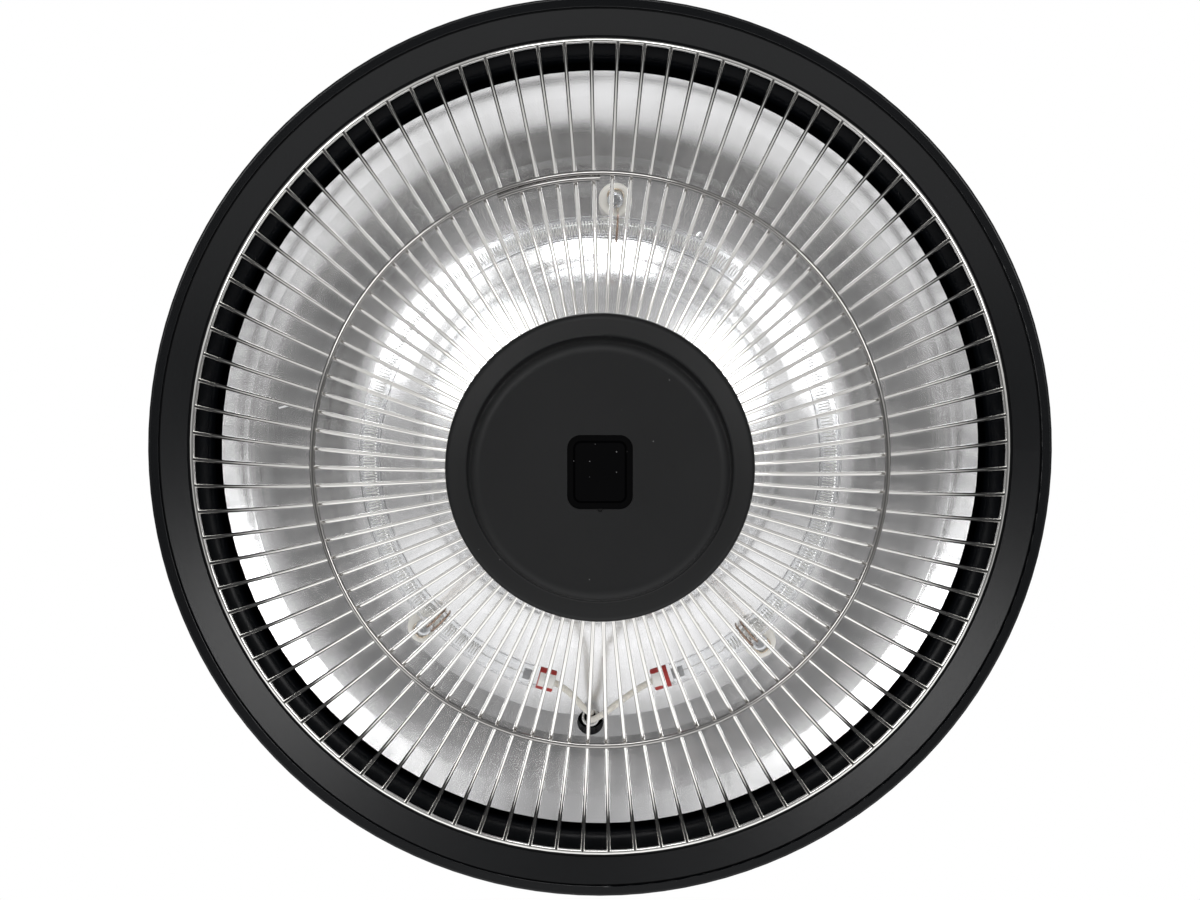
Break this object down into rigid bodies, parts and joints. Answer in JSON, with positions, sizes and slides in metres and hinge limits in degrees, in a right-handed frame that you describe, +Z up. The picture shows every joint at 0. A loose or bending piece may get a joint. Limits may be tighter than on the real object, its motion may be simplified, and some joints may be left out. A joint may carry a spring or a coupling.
{
  "type": "hanging infrared patio heater",
  "caption": "Round black ceiling heater that hangs from an eye: ring-shaped infrared lamp under a spun reflector, behind a domed wire guard with a centre cap.",
  "frame": {"origin": "middle of the hanging eye's bore", "axes": "+Z up, +X along the eye's bore and the clevis pin; the lamp's gap and its leads lie towards +Y"},
  "size_m": [0.425, 0.425, 0.3019],
  "materials": {
    "black_enamel": "fine-textured satin black paint",
    "black_plastic": "fine-textured black moulding",
    "gloss_black": "polished, dark infrared window",
    "bright_wire": "bright plated wire",
    "spun_aluminium": "satin, spun in circles",
    "zinc_steel": "zinc plated",
    "spring_steel": "heat-tinted spring wire",
    "white_ceramic": "unglazed white",
    "quartz": "clear",
    "heating_wire": "oxidised grey",
    "foil": "rolled",
    "white_braid": "woven glass fibre",
    "beige_insulation": "braided sleeving",
    "black_rubber": "matt",
    "circuit_board": "lacquered board",
    "white_nylon": "moulded",
    "dark_lens": "moulded lens"
  },
  "bodies": {
    "hanger": {"hanging_link": "zinc_steel"},
    "heater": {"board_spacers": "white_nylon", "board_terminal": "black_plastic", "bracket_bolts": "zinc_steel", "cable_gland": "black_plastic", "cap": "black_plastic", "cap_base": "zinc_steel", "cap_screws": "zinc_steel", "centre_tube": "zinc_steel", "clevis_pin": "zinc_steel", "control_board": "circuit_board", "control_housing": "black_plastic", "gland_cap_nut": "black_plastic", "gland_locknut": "black_plastic", "gland_seal": "black_rubber", "guard_hub_ring": "bright_wire", "guard_middle_ring": "bright_wire", "guard_outer_ring": "bright_wire", "guard_spokes": "bright_wire", "hanger_bracket": "zinc_steel", "hanger_nut": "zinc_steel", "hanging_clevis": "zinc_steel", "heat_shield": "zinc_steel", "housing_screws": "zinc_steel", "insulator_left": "white_ceramic", "insulator_right": "white_ceramic", "insulator_screws": "zinc_steel", "insulator_top": "white_ceramic", "lamp_clip_left": "spring_steel", "lamp_clip_right": "spring_steel", "lamp_clip_top": "spring_steel", "lamp_coil": "heating_wire", "lamp_end_left": "white_ceramic", "lamp_end_right": "white_ceramic", "lamp_foil_left": "foil", "lamp_foil_right": "foil", "lamp_lead_left": "beige_insulation", "lamp_lead_right": "beige_insulation", "lamp_terminal": "white_ceramic", "lamp_tube": "quartz", "lead_sleeve": "white_braid", "pin_clip": "zinc_steel", "post_screws": "zinc_steel", "receiver_board": "circuit_board", "receiver_lead": "black_rubber", "receiver_sensor": "dark_lens", "receiver_window": "gloss_black", "reflector": "spun_aluminium", "reflector_spacers": "zinc_steel", "relay": "black_plastic", "rim_ring": "black_enamel", "shade": "black_enamel", "shield_posts": "zinc_steel", "supply_cable": "black_rubber", "thermal_cutout": "zinc_steel", "transformer": "zinc_steel", "tube_nuts": "zinc_steel", "wiring_grommet": "black_rubber"}
  },
  "joints": [
    {"name": "hanger_swing", "type": "hinge", "parent": "hanger", "child": "heater", "pos_m": [0, 0, -0.03], "axis": [1, 0, 0], "range_deg": [-90, 90]}
  ]
}
